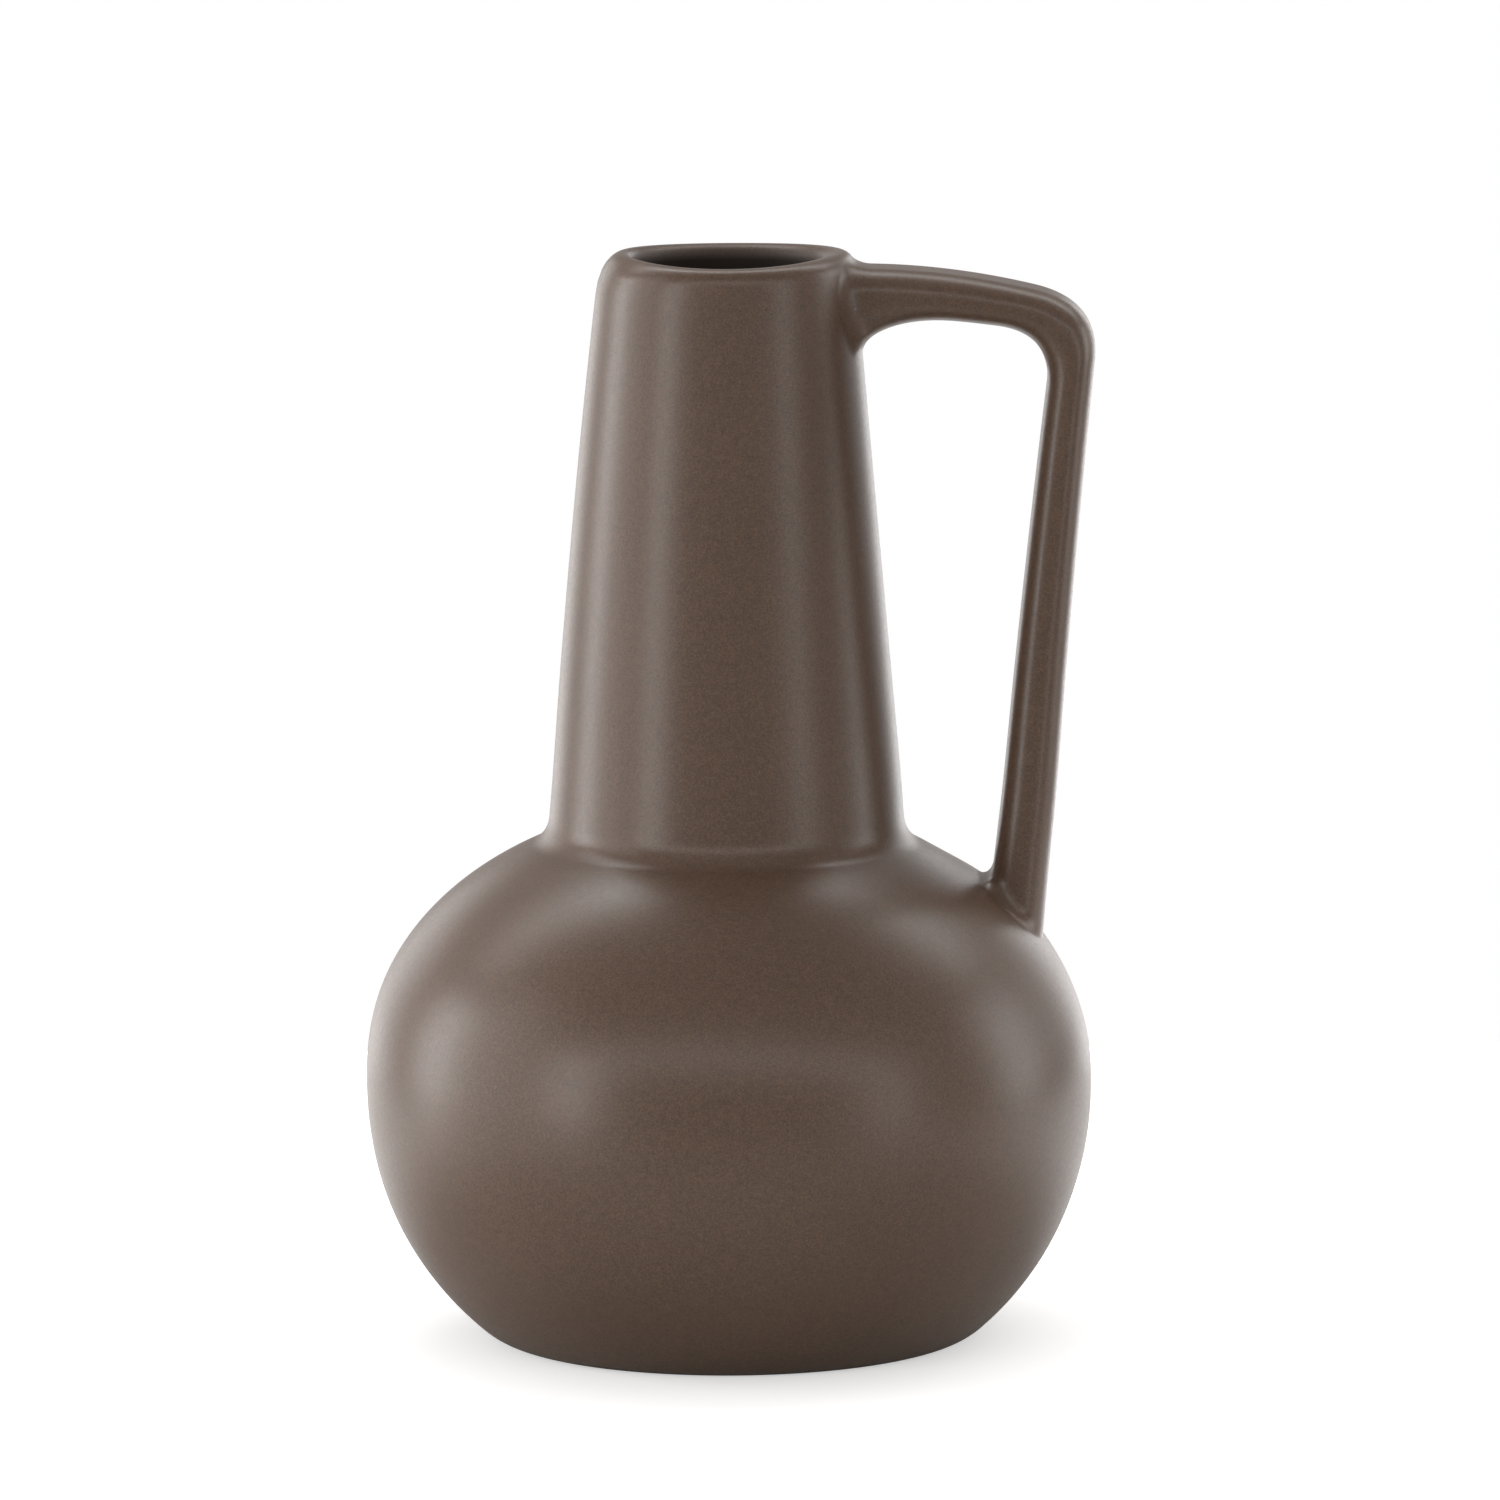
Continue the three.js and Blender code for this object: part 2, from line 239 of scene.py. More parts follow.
def addPiece(name, rings, ends, node, material):
    count, around = rings.shape[:2]
    points = fired(rings.reshape(-1, 3))
    faces = []
    for i in range(count - 1 if ends is not None else count):
        low, high = i * around, (i + 1) % count * around
        for j in range(around):
            k = (j + 1) % around
            faces.append((low + j, low + k, high + k, high + j))
    if ends is not None:
        points = np.vstack([points, fired(np.array(ends, float))])
        first, last = count * around, count * around + 1
        for j in range(around):
            k = (j + 1) % around
            faces.append((first, k, j))
            faces.append((last, (count - 1) * around + j, (count - 1) * around + k))
    mesh = bpy.data.meshes.new(name)
    mesh.from_pydata((points * mm).tolist(), [], faces)
    shape = bmesh.new()
    shape.from_mesh(mesh)
    bmesh.ops.recalc_face_normals(shape, faces=shape.faces)
    shape.to_mesh(mesh)
    shape.free()
    mesh.shade_smooth()
    mesh.set_sharp_from_angle(angle=math.radians(sharpAngle))
    mesh.materials.append(material)
    piece = bpy.data.objects.new(name, mesh)
    bpy.context.scene.collection.objects.link(piece)
    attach(piece, "root")
    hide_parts(node)
    print("made", name, "with", len(mesh.polygons), "faces")


def turned(outline):
    angle = np.arange(turnSteps) * 2 * math.pi / turnSteps
    radius, height = outline[:, :1], outline[:, 1:]
    return np.stack([radius * np.cos(angle), radius * np.sin(angle), height + 0 * angle], axis=2)


# Materials


def linear(colour):
    parts = [int(colour[i:i + 2], 16) / 255 for i in (1, 3, 5)]
    return [c / 12.92 if c <= 0.04045 else ((c + 0.055) / 1.055) ** 2.4 for c in parts] + [1.0]


def addNode(tree, kind, settings, links):
    node = tree.nodes.new(kind)
    for key, value in settings.items():
        if isinstance(key, str) and hasattr(node, key):
            setattr(node, key, value)
        else:
            node.inputs[key].default_value = value
    for key, source in links.items():
        tree.links.new(source, node.inputs[key])
    return node


def newTree(block):
    block.use_nodes = True
    block.node_tree.nodes.clear()
    return block.node_tree


# Stoneware under a satin brown glaze, sprayed and fired. The eye gets a soft sheen and no mirror image,
# a fine dry grain, a faint warm and cool mottle, and here and there a pinhead of frit or a dark pit.
# Inside the mouth a near-black colour is painted as shade, deepening down from the rim, and the standing face
# was wiped bare before firing.
glazeLook = {
    "warm": "#5f493a",  # the mottle swings between these two
    "cool": "#59473a",
    "pale": "#8d7f76",  # frit that stayed dry
    "dark": "#35281f",  # pits
    # painted shade: the near-black colour inside the mouth stands for the shade in the narrow neck
    "mouthShade": "#1e130b",
    "bare": "#8a7767",  # unglazed clay
    "roughness": 0.36,
    "mouthShadeRoughness": 0.8,
    "bareRoughness": 0.85,
    "ior": 1.5,
    "cloud": 38.0,  # sizes in mm: broad drift of the spray
    "mottle": 2.4,
    "grain": 0.5,  # really about 0.2, drawn coarser so that it shows
    "fleck": 1.1,
    "dry": 1.2,  # spots of duller glaze
    "peel": 0.9,  # width of the glaze's tiny waves
    "peelHeight": 0.0022,
    "speckSpacing": 9.0,
    "speckRadius": 0.28,
    "speckCore": 0.5,  # share of it that has the full colour
    "paleDraw": (0.86, 0.88),  # which of the evenly drawn cells show a pale speck, and which a dark one
    "darkDraw": (0.16, 0.14),
    "noiseRoughness": 0.55,  # share of each finer layer in a noise
    "mouthShadeFade": 1.2,  # how softly the painted shade starts: across the lip, and down the mouth
    "mouthShadeDepth": 4.5,
    "bareHeight": 0.4,
}

# how much each noise changes: its usual lowest and highest value, and what they stand for
glazeSwing = {
    "cloud": (0.3, 0.7, 0.97, 1.03),
    "mottle": (0.3, 0.7, 0.0, 1.0),
    "grain": (0.25, 0.75, 0.74, 1.26),
    "fleck": (0.3, 0.7, 0.92, 1.08),
    "dry": (0.3, 0.7, glazeLook["roughness"] - 0.03, glazeLook["roughness"] + 0.03),
}
# layers of finer noise in each
glazeDetail = {"cloud": 1, "mottle": 2, "grain": 1, "fleck": 1, "dry": 1, "peel": 2}


def satinStoneware():
    look = glazeLook
    material = bpy.data.materials.new("satinStoneware")
    tree = newTree(material)
    place = addNode(tree, "ShaderNodeTexCoord", {}, {}).outputs["Object"]

    noises, swings = {}, {}
    for name, detail in glazeDetail.items():
        settings = {"Scale": 1 / (look[name] * mm), "Detail": detail, "Roughness": look["noiseRoughness"]}
        noises[name] = addNode(tree, "ShaderNodeTexNoise", settings, {"Vector": place}).outputs["Fac"]
    for name, (low, high, toLow, toHigh) in glazeSwing.items():
        settings = {"From Min": low, "From Max": high, "To Min": toLow, "To Max": toHigh}
        swing = addNode(tree, "ShaderNodeMapRange", settings, {"Value": noises[name]})
        swings[name] = swing.outputs["Result"]

    ends = {"data_type": "RGBA", 6: linear(look["cool"]), 7: linear(look["warm"])}
    mottled = addNode(tree, "ShaderNodeMix", ends, {0: swings["mottle"]})
    colour = mottled.outputs[2]
    for name in ("cloud", "grain", "fleck"):
        toned = {0: colour, "Scale": swings[name]}
        colour = addNode(tree, "ShaderNodeVectorMath", {"operation": "SCALE"}, toned).outputs[0]

    # specks: one in each cell, of which a few are pale and a few dark
    cells = {"Scale": 1 / (look["speckSpacing"] * mm), "Randomness": 1.0}
    specks = addNode(tree, "ShaderNodeTexVoronoi", cells, {"Vector": place})
    reach = look["speckRadius"] / look["speckSpacing"]
    size = {"From Min": reach, "From Max": reach * look["speckCore"]}
    spot = addNode(tree, "ShaderNodeMapRange", size, {"Value": specks.outputs["Distance"]})
    draw = addNode(tree, "ShaderNodeSeparateColor", {}, {"Color": specks.outputs["Color"]})
    for name in ("pale", "dark"):
        low, high = look[name + "Draw"]
        drawn = {"From Min": low, "From Max": high}
        chosen = addNode(tree, "ShaderNodeMapRange", drawn, {"Value": draw.outputs["Red"]})
        both = {0: spot.outputs["Result"], 1: chosen.outputs["Result"]}
        amount = addNode(tree, "ShaderNodeMath", {"operation": "MULTIPLY"}, both)
        over = {"data_type": "RGBA", 7: linear(look[name])}
        colour = addNode(tree, "ShaderNodeMix", over, {0: amount.outputs[0], 6: colour}).outputs[2]

    # painted shade inside the mouth: inside a cone through the middle of the neck's wall, darker down from
    # the rim
    apart = addNode(tree, "ShaderNodeSeparateXYZ", {}, {0: place})
    level = addNode(tree, "ShaderNodeVectorMath", {"operation": "MULTIPLY", 1: (1, 1, 0)}, {0: place})
    out = addNode(tree, "ShaderNodeVectorMath", {"operation": "LENGTH"}, {0: level.outputs[0]})
    crest = neck["topRadius"] - neck["lipWall"] + neck["lipRoll"]
    cone = {
        "From Min": neck["foot"] * mm,
        "From Max": neck["rim"] * mm,
        "To Min": (neck["footRadius"] - neck["wall"] / 2) * mm,
        "To Max": crest * mm,
    }
    middle = addNode(tree, "ShaderNodeMapRange", cone, {"Value": apart.outputs["Z"]})
    sides = {0: middle.outputs["Result"], 1: out.outputs["Value"]}
    inward = addNode(tree, "ShaderNodeMath", {"operation": "SUBTRACT"}, sides)
    fade = {"From Max": look["mouthShadeFade"] * mm}
    shadedInward = addNode(tree, "ShaderNodeMapRange", fade, {"Value": inward.outputs[0]})
    down = {"From Min": neck["rim"] * mm, "From Max": (neck["rim"] - look["mouthShadeDepth"]) * mm}
    deep = addNode(tree, "ShaderNodeMapRange", down, {"Value": apart.outputs["Z"]})
    both = {0: shadedInward.outputs["Result"], 1: deep.outputs["Result"]}
    amount = addNode(tree, "ShaderNodeMath", {"operation": "MULTIPLY"}, both)
    over = {"data_type": "RGBA", 7: linear(look["mouthShade"])}
    colour = addNode(tree, "ShaderNodeMix", over, {0: amount.outputs[0], 6: colour}).outputs[2]
    duller = {0: amount.outputs[0], 2: swings["dry"]}
    dull = addNode(tree, "ShaderNodeMix", {3: look["mouthShadeRoughness"]}, duller)

    # bare standing face
    low = {"From Min": look["bareHeight"] * mm, "From Max": look["bareHeight"] / 2 * mm}
    bare = addNode(tree, "ShaderNodeMapRange", low, {"Value": apart.outputs["Z"]})
    over = {"data_type": "RGBA", 7: linear(look["bare"])}
    colour = addNode(tree, "ShaderNodeMix", over, {0: bare.outputs["Result"], 6: colour}).outputs[2]
    duller = {0: bare.outputs["Result"], 2: dull.outputs[0]}
    dull = addNode(tree, "ShaderNodeMix", {3: look["bareRoughness"]}, duller)

    waves = {"Strength": 1.0, "Distance": look["peelHeight"] * mm}
    relief = addNode(tree, "ShaderNodeBump", waves, {"Height": noises["peel"]})
    surface = addNode(tree, "ShaderNodeBsdfPrincipled", {"IOR": look["ior"]}, {
        "Base Color": colour,
        "Roughness": dull.outputs[0],
        "Normal": relief.outputs["Normal"],
    })
    addNode(tree, "ShaderNodeOutputMaterial", {}, {"Surface": surface.outputs["BSDF"]})
    return material


glaze = satinStoneware()

# Belly, crease and neck

bellyInside = bellySide(belly["floor"], belly["openingRadius"], belly["wall"])
bellyRings = np.vstack([bellyLine, bellyInside[::-1]])
addPiece("turnedBelly", turned(bellyRings), [(0, 0, 0), (0, 0, belly["floor"])], "belly", glaze)

throat = neck["footRadius"] - neck["wall"]
creaseRings = np.vstack([creaseLine, [(throat, creaseLine[-1, 1])], [(throat, creaseLine[0, 1])]])
addPiece("neckLuting", turned(creaseRings), None, "neck_luting", glaze)

neckRings = np.vstack([neckLine, neckInside()])
neckRings[-1, 1] = creaseLine[-1, 1]
addPiece("turnedNeck", turned(neckRings), None, "neck", glaze)

# Strap handle: its outer and inner side lines each run through an arm, a bend and a limb

strap = {
    "width": 28.0,
    "edgeRound": 0.46,  # share of the strap's thickness: the edges are nearly half round
    "crown": (8.0, 11.5),  # how far they run on across its outer side: on the arm, and on the limb
    "armThickness": 12.75,  # at the neck
    "armDrop": 3.95,  # from the lip's crest down to the top of the arm
    "armSag": 5.9,  # drop of the arm's top between the neck and its bend
    "underSag": 4.3,  # the same for its underside
    "fingerGap": 53.45,
    "limbThickness": 12.35,
    "limbFootThickness": 15.6,
    "limbBow": 0.3,  # how far its faces bow towards the neck
    "footInset": 12.55,  # from the widest girth in to the limb's outer face
    "outerBend": 16.2,  # how far the bend's outside reaches along the arm, and down the limb
    "outerBendDrop": 19.9,
    "innerBend": 14.4,  # the same for its inside
    "innerBendDrop": 17.6,
    "rootDepth": 14.0,  # how far the limb is drawn on into the belly
    "flareLength": 27.0,  # soft flare under the arm, out from the neck and down it
    "flareDrop": 11.4,
    # smoothed hollows, each along the strap and out from it
    "topFillet": (5.0, 2.6),  # above the arm
    "footFillet": (5.6, 4.3),  # inside the limb's foot
    "neckSide": (5.0, 4.5),  # beside the strap, at the neck
    "footSide": (4.4, 3.2),  # and at the shoulder
    "footSideSkew": 0.5,  # more on the limb's inner side
    "clay": 3.45,  # thickness of the clay under each end
    "sunk": 0.4,  # the clay ends this far inside the neck and the shoulder
    "turn": -1.2,  # degrees about the vase's axis: the handle stands a little to the front
}

# rows of points, and where along the side lines they lie: 0 to 1 is the arm, to 2 the bend, to 3 the limb
strapRows = {
    "flare": 31,
    "arm": 21,
    "bend": 44,
    "limb": 91,
    "foot": 21,
    "armEnd": 0.95,
    "limbStart": 2.05,
    "neckSearch": (0.0, 1.2),  # from inside the neck outwards, and from inside the shoulder
    "footSearch": (3.0, 2.2),
    "halvings": 40,
}


def shoulderHeight(radius):
    share = (radius / belly["radius"]) ** belly["shoulderFullness"]
    return belly["girthHeight"] + belly["shoulderRise"] * (1 - share) ** (1 / belly["shoulderFullness"])


def strapLines():
    neckTopRadius = neck["topRadius"]
    start = neckTopRadius - neck["lipWall"]
    armTop = neck["rim"] - strap["armDrop"]
    armUnder = armTop - strap["armThickness"]
    outerX = neckTopRadius + strap["fingerGap"] + strap["limbThickness"]
    innerX = neckTopRadius + strap["fingerGap"]
    bendStart = outerX - strap["outerBend"]
    innerStart = innerX - strap["innerBend"]
    span = bendStart - neckTopRadius
    bendEnd = armTop - strap["armSag"] - strap["outerBendDrop"]
    landing = belly["radius"] - strap["footInset"]
    landingHeight = shoulderHeight(landing)
    root = landingHeight - strap["rootDepth"]

    def arm(end, top, sag):
        # a stretch of parabola: its ends and the point where their tangents cross
        drops = [sag * ((x - neckTopRadius) / span) ** 2 for x in (start, end)]
        pull = sag * (start - neckTopRadius) * (end - neckTopRadius) / span ** 2
        return [(start, top - drops[0]), ((start + end) / 2, top - pull), (end, top - drops[1])]

    def face(top, foot, height):
        share = (top[1] - height) / (top[1] - foot[1])
        return top[0] + (foot[0] - top[0]) * share, height

    def crossing(a, alongA, b, alongB):
        share = np.linalg.solve(np.column_stack([alongA, -np.array(alongB)]), np.subtract(b, a))[0]
        return tuple(np.add(a, np.multiply(alongA, share)))

    def line(armPart, faceTop, faceFoot, limbTop):
        limbFoot = face(faceTop, faceFoot, root)
        middle = np.mean([limbTop, limbFoot], axis=0) - (2 * strap["limbBow"], 0)
        alongArm, alongLimb = np.subtract(armPart[2], armPart[1]), np.subtract(middle, limbTop)
        corner = crossing(armPart[2], alongArm, limbTop, alongLimb)
        return [armPart, [armPart[2], corner, limbTop], [limbTop, tuple(middle), limbFoot]]

    outerTop, outerFoot = (outerX, bendEnd), (landing, landingHeight)
    innerTop, innerFoot = (innerX, bendEnd), (landing - strap["limbFootThickness"], landingHeight)
    outerArm = arm(bendStart, armTop, strap["armSag"])
    innerArm = arm(innerStart, armUnder, strap["underSag"])
    innerLimb = face(innerTop, innerFoot, innerArm[2][1] - strap["innerBendDrop"])
    outer = line(outerArm, outerTop, outerFoot, outerTop)
    inner = line(innerArm, innerTop, innerFoot, innerLimb)
    return np.array(outer, float), np.array(inner, float)


outerLine, innerLine = strapLines()


def lineAt(line, u):
    # u runs from 0 to 3, one unit for each stretch
    stretch = np.clip(np.floor(u), 0, 2).astype(int)
    t = (u - stretch)[:, None]
    a, b, c = (line[stretch, i] for i in range(3))
    return (1 - t) ** 2 * a + 2 * t * (1 - t) * b + t ** 2 * c


def sectionColumns():
    # round the strap's section: place of the corner's middle, as shares, and the way that the surface faces
    columns = []
    cornerSteps, wideSteps, thinSteps = 10, 14, 6
    for c, y, startAngle in ((1, 1, 0), (-1, 1, 90), (-1, -1, 180), (1, -1, 270)):
        for i in range(cornerSteps):
            angle = math.radians(startAngle + 90 * i / cornerSteps)
            columns.append((c, y, math.cos(angle), math.sin(angle)))
        angle = math.radians(startAngle + 90)
        steps = thinSteps if c == y else wideSteps
        for i in range(steps):
            share = 1 - 2 * i / steps
            place = (share * c, y) if c == y else (c, share * y)
            columns.append((*place, round(math.cos(angle)), round(math.sin(angle))))
    return np.array(columns, float).T


midC, midY, faceC, faceY = sectionColumns()


def hollow(distance, reach, depth):
    # a quarter round, full at the surface that the strap meets
    near = np.clip(1 - distance / reach, 0, 1)
    return depth * (1 - np.sqrt(1 - near ** 2))


def strapPoints(u, distance, atNeck):
    # the strap's surface at u, one value for each column, spread as at a distance from neck or shoulder
    outer, inner = lineAt(outerLine, u), lineAt(innerLine, u)
    outward = outer - inner
    thickness = np.linalg.norm(outward, axis=1)
    outward = outward / thickness[:, None]
    soft = strap["edgeRound"] * thickness
    c = midC * (thickness / 2 - soft) + faceC * soft
    share = c / (thickness / 2)
    if atNeck:
        flare = hollow(distance, strap["flareLength"], strap["flareDrop"])
        c = c + np.clip(faceC, 0, 1) * hollow(distance, *strap["topFillet"]) - np.clip(-share, 0, 1) * flare
        spread = hollow(distance, *strap["neckSide"])
    else:
        c = c + np.clip(faceC, -1, 0) * hollow(distance, *strap["footFillet"])
        skew = 1 - strap["footSideSkew"] * share
        spread = hollow(distance, strap["footSide"][0] * skew, strap["footSide"][1] * skew)
    across = np.where(midC > 0, np.interp(u, (1, 2), strap["crown"]), soft)
    y = midY * (strap["width"] / 2 - across + spread) + faceY * across
    middle = (outer + inner) / 2
    place = middle + outward * c[:, None]
    return np.column_stack([place[:, 0], y, place[:, 1]])


def outsideDistance(points):
    # signed distance from the turned outside, more than 0 outside
    place = np.column_stack([np.hypot(points[:, 0], points[:, 1]), points[:, 2]])
    start, along = outside[:-1], np.diff(outside, axis=0)
    offset = place[:, None] - start
    share = np.clip((offset * along).sum(2) / (along ** 2).sum(1), 0, 1)
    away = offset - share[..., None] * along
    nearest = np.argmin((away ** 2).sum(2), axis=1)
    rows = np.arange(len(place))
    away, along = away[rows, nearest], along[nearest]
    side = np.sign(away[:, 0] * along[:, 1] - away[:, 1] * along[:, 0])
    return side * np.linalg.norm(away, axis=1)


def landingRing(distance, atNeck):
    # the ring of points at one distance from the neck or the shoulder, found by halving
    inside, clear = strapRows["neckSearch" if atNeck else "footSearch"]
    low, high = np.full(len(midC), inside), np.full(len(midC), clear)
    for _ in range(strapRows["halvings"]):
        u = (low + high) / 2
        reached = outsideDistance(strapPoints(u, max(distance, 0), atNeck))
        low, high = np.where(reached < distance, u, low), np.where(reached < distance, high, u)
    return (low + high) / 2


def strapRings():
    # rings along the whole strap, and which of them end the clay at the neck and start it at the shoulder
    turns = np.radians(np.linspace(90, 0, strapRows["flare"]))
    neckDistances = strap["flareLength"] * (1 - np.sin(turns))
    footTurns = np.radians(np.linspace(0, 90, strapRows["foot"]))
    footStart = strap["footSide"][0] * (1 + strap["footSideSkew"])
    footDistances = footStart * (1 - np.sin(footTurns))
    rings, marks = [], {}
    for distance in [-strap["sunk"], *neckDistances]:
        if distance >= strap["clay"] and "armStart" not in marks:
            marks["armStart"] = len(rings)
        u = landingRing(distance, True)
        rings.append(strapPoints(u, max(distance, 0), True))
    armU = u
    footU = landingRing(footDistances[0], False)
    armEnd, limbStart = strapRows["armEnd"], strapRows["limbStart"]
    far = strap["flareLength"]
    for share in np.linspace(0, 1, strapRows["arm"])[1:]:
        rings.append(strapPoints(armU + (armEnd - armU) * share, far, True))
    for u in np.linspace(armEnd, limbStart, strapRows["bend"])[1:]:
        rings.append(strapPoints(np.full(len(midC), u), far, True))
    for share in np.linspace(0, 1, strapRows["limb"])[1:-1]:
        rings.append(strapPoints(limbStart + (footU - limbStart) * share, far, False))
    for distance in [*footDistances, -strap["sunk"]]:
        if distance <= strap["clay"] and "footStart" not in marks:
            marks["footStart"] = len(rings)
        u = landingRing(distance, False)
        rings.append(strapPoints(u, max(distance, 0), False))
    turn = math.radians(strap["turn"])
    about = [[math.cos(turn), math.sin(turn), 0], [-math.sin(turn), math.cos(turn), 0], [0, 0, 1]]
    return np.array(rings) @ np.array(about), marks


rings, marks = strapRings()


def strapPiece(name, first, last, node):
    part = rings[first:last + 1]
    addPiece(name, part, [part[0].mean(0), part[-1].mean(0)], node, glaze)


strapPiece("upperLuting", 0, marks["armStart"], "upper_luting")
strapPiece("strapHandle", marks["armStart"], marks["footStart"], "handle")
strapPiece("lowerLuting", marks["footStart"], len(rings) - 1, "lower_luting")

# Floor, light and camera

studio = {
    "floorSize": 900.0,
    "floorColour": "#d8d7d5",
    "floorLift": 0.5,  # added beside the vase where the camera sees the floor
    "cameraWhite": (60.0, 240.0),  # out from the axis, where the floor goes to white for the camera
    "glossWhite": (240.0, 380.0),  # for gloss it goes to white out from a place in front of the vase
    "glossCentre": (0.0, -200.0, 0.0),
    "glossBelow": (0.0, -0.1),  # past its edge gloss sees it run on: below the horizon, and behind the vase
    "glossBehind": (0.62, 0.92),
    "fill": 0.3,  # even light from the room
    "aim": (0.0, 0.0, 140.0),  # what the lamps point at
    "lampDistance": 2500.0,
}

# turn from the camera's side towards the handle and rise, in degrees, width and height in mm, brightness
softBoxes = {
    "overheadBar": (180, 62.5, 6500, 630, 4.1),
    "overheadLeft": (-151, 57.5, 710, 540, 2.7),
    "overheadRight": (128, 43, 900, 1000, 0.6),
    "leftStrip": (-105.5, 6.5, 730, 1500, 7.0),
    "leftFront": (-51, 4, 620, 1380, 5.3),
    "frontTop": (-3, 26, 5000, 350, 3.0),
    "rightFront": (51, 5.5, 520, 1370, 2.7),
    "rightStrip": (104, 8, 820, 1500, 3.4),
    "backLeft": (-148, 5, 1200, 1430, 1.8),
    "backRight": (155, 4, 900, 1450, 2.15),
    "backTop": (180, 12, 1700, 650, 0.3),
    "leftWall": (-81, 12.5, 1010, 2370, 1.7),
    "rightWall": (133, 10, 1700, 1000, 0.55),
}


def seenRays(tree):
    # 1 for what the camera sees, and for what gloss and clear things show of the backdrop
    path = addNode(tree, "ShaderNodeLightPath", {}, {})
    rays = [path.outputs[name] for name in ("Is Camera Ray", "Is Glossy Ray", "Is Transmission Ray")]
    bounced = addNode(tree, "ShaderNodeMath", {"operation": "MAXIMUM"}, {0: rays[1], 1: rays[2]})
    return rays[0], bounced.outputs[0]


def studioFloor():
    half = studio["floorSize"] / 2 * mm
    corners = [(-half, -half, 0), (half, -half, 0), (half, half, 0), (-half, half, 0)]
    mesh = bpy.data.meshes.new("studioFloor")
    mesh.from_pydata(corners, [], [(0, 1, 2, 3)])
    floor = bpy.data.objects.new("studioFloor", mesh)
    bpy.context.scene.collection.objects.link(floor)
    material = bpy.data.materials.new("paintedFloor")
    tree = newTree(material)
    paint = addNode(tree, "ShaderNodeBsdfDiffuse", {"Color": linear(studio["floorColour"])}, {})
    direct, bounced = seenRays(tree)
    place = addNode(tree, "ShaderNodeTexCoord", {}, {})
    lifts = (
        (direct, (0, 0, 0), studio["cameraWhite"], studio["floorLift"]),
        (bounced, studio["glossCentre"], studio["glossWhite"], 0.0),
    )
    shares = []
    for rays, centre, (near, far), start in lifts:
        centred = {"operation": "DISTANCE", 1: [c * mm for c in centre]}
        away = addNode(tree, "ShaderNodeVectorMath", centred, {0: place.outputs["Object"]})
        ramp = {"From Min": near * mm, "From Max": far * mm, "To Min": start}
        white = addNode(tree, "ShaderNodeMapRange", ramp, {"Value": away.outputs["Value"]})
        both = {0: rays, 1: white.outputs["Result"]}
        shares.append(addNode(tree, "ShaderNodeMath", {"operation": "MULTIPLY"}, both).outputs[0])
    lift = addNode(tree, "ShaderNodeMath", {"operation": "ADD"}, {0: shares[0], 1: shares[1]})
    glow = addNode(tree, "ShaderNodeEmission", {}, {"Strength": lift.outputs[0]})
    both = addNode(tree, "ShaderNodeAddShader", {}, {0: paint.outputs[0], 1: glow.outputs[0]})
    addNode(tree, "ShaderNodeOutputMaterial", {}, {"Surface": both.outputs[0]})
    mesh.materials.append(material)


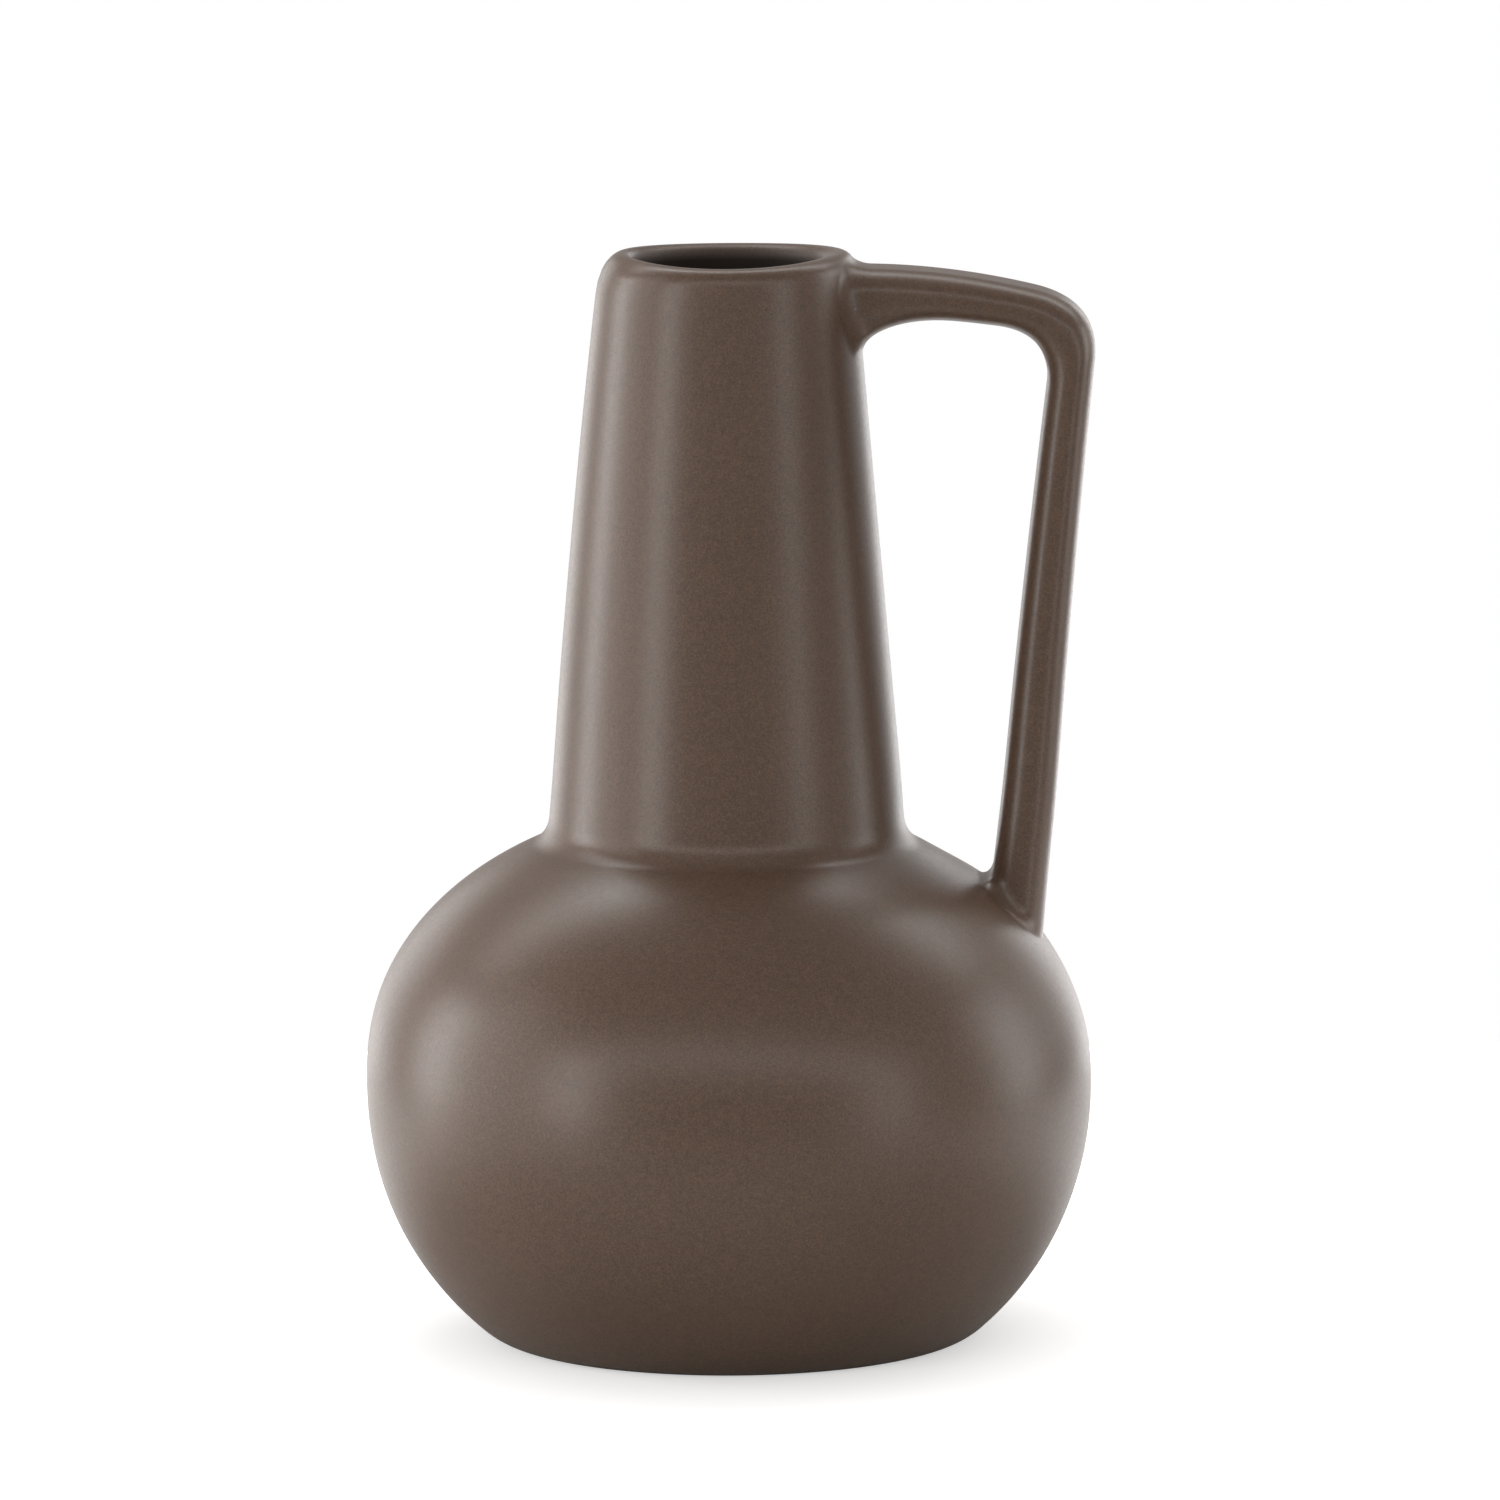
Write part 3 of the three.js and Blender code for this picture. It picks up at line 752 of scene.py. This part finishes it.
def studioRoom():
    # a dim even room, white to the camera, where gloss sees the white floor run on below the horizon
    world = bpy.data.worlds.new("studioRoom")
    bpy.context.scene.world = world
    tree = newTree(world)
    direct, bounced = seenRays(tree)
    way = addNode(tree, "ShaderNodeTexCoord", {}, {})
    split = addNode(tree, "ShaderNodeSeparateXYZ", {}, {0: way.outputs["Generated"]})
    ramps = []
    for axis, (start, end) in (("Z", studio["glossBelow"]), ("Y", studio["glossBehind"])):
        ends = {"From Min": start, "From Max": end}
        ramp = addNode(tree, "ShaderNodeMapRange", ends, {"Value": split.outputs[axis]})
        ramps.append(ramp.outputs["Result"])
    backdrop = addNode(tree, "ShaderNodeMath", {"operation": "MULTIPLY"}, {0: ramps[0], 1: ramps[1]})
    shown = addNode(tree, "ShaderNodeMath", {"operation": "MULTIPLY"}, {0: bounced, 1: backdrop.outputs[0]})
    seen = addNode(tree, "ShaderNodeMath", {"operation": "MAXIMUM"}, {0: direct, 1: shown.outputs[0]})
    strength = addNode(tree, "ShaderNodeMapRange", {"To Min": studio["fill"]}, {"Value": seen.outputs[0]})
    white = {"Color": (1, 1, 1, 1)}
    air = addNode(tree, "ShaderNodeBackground", white, {"Strength": strength.outputs["Result"]})
    addNode(tree, "ShaderNodeOutputWorld", {}, {"Surface": air.outputs[0]})


def softBox(name, turn, rise, width, height, brightness):
    turn, rise = math.radians(turn), math.radians(rise)
    way = Vector((math.cos(rise) * math.sin(turn), -math.cos(rise) * math.cos(turn), math.sin(rise)))
    data = bpy.data.lights.new(name, "AREA")
    data.shape = "RECTANGLE"
    data.size, data.size_y = width * mm, height * mm
    data.energy = brightness * math.pi * data.size * data.size_y
    lamp = bpy.data.objects.new(name, data)
    lamp.location = (Vector(studio["aim"]) + way * studio["lampDistance"]) * mm
    lamp.rotation_mode = "QUATERNION"
    lamp.rotation_quaternion = way.to_track_quat("Z", "Y")
    lamp.visible_camera = False
    bpy.context.scene.collection.objects.link(lamp)


studioFloor()
studioRoom()
for name, box in softBoxes.items():
    softBox(name, *box)
print("studio set:", len(softBoxes), "soft boxes")

camera = {
    "distance": 3333.3,  # in front of the vase's axis
    "height": 666.0,
    "aim": (6.4, 0.0, 162.5),
    "roll": -0.348,  # degrees
    "lens": 294.2,
    "frameWidth": 36.0,
    "clipEnd": 100.0,  # metres
}


def photoCamera():
    data = bpy.data.cameras.new("photoCamera")
    data.lens, data.sensor_width = camera["lens"], camera["frameWidth"]
    data.clip_end = camera["clipEnd"]
    view = bpy.data.objects.new("photoCamera", data)
    bpy.context.scene.collection.objects.link(view)
    eye = Vector((0, -camera["distance"], camera["height"])) * mm
    look = (Vector(camera["aim"]) * mm - eye).to_track_quat("-Z", "Y")
    view.location = eye
    view.rotation_mode = "QUATERNION"
    view.rotation_quaternion = look @ Quaternion((0, 0, 1), math.radians(camera["roll"]))
    bpy.context.scene.camera = view


photoCamera()
bpy.context.scene.view_settings.view_transform = "Standard"
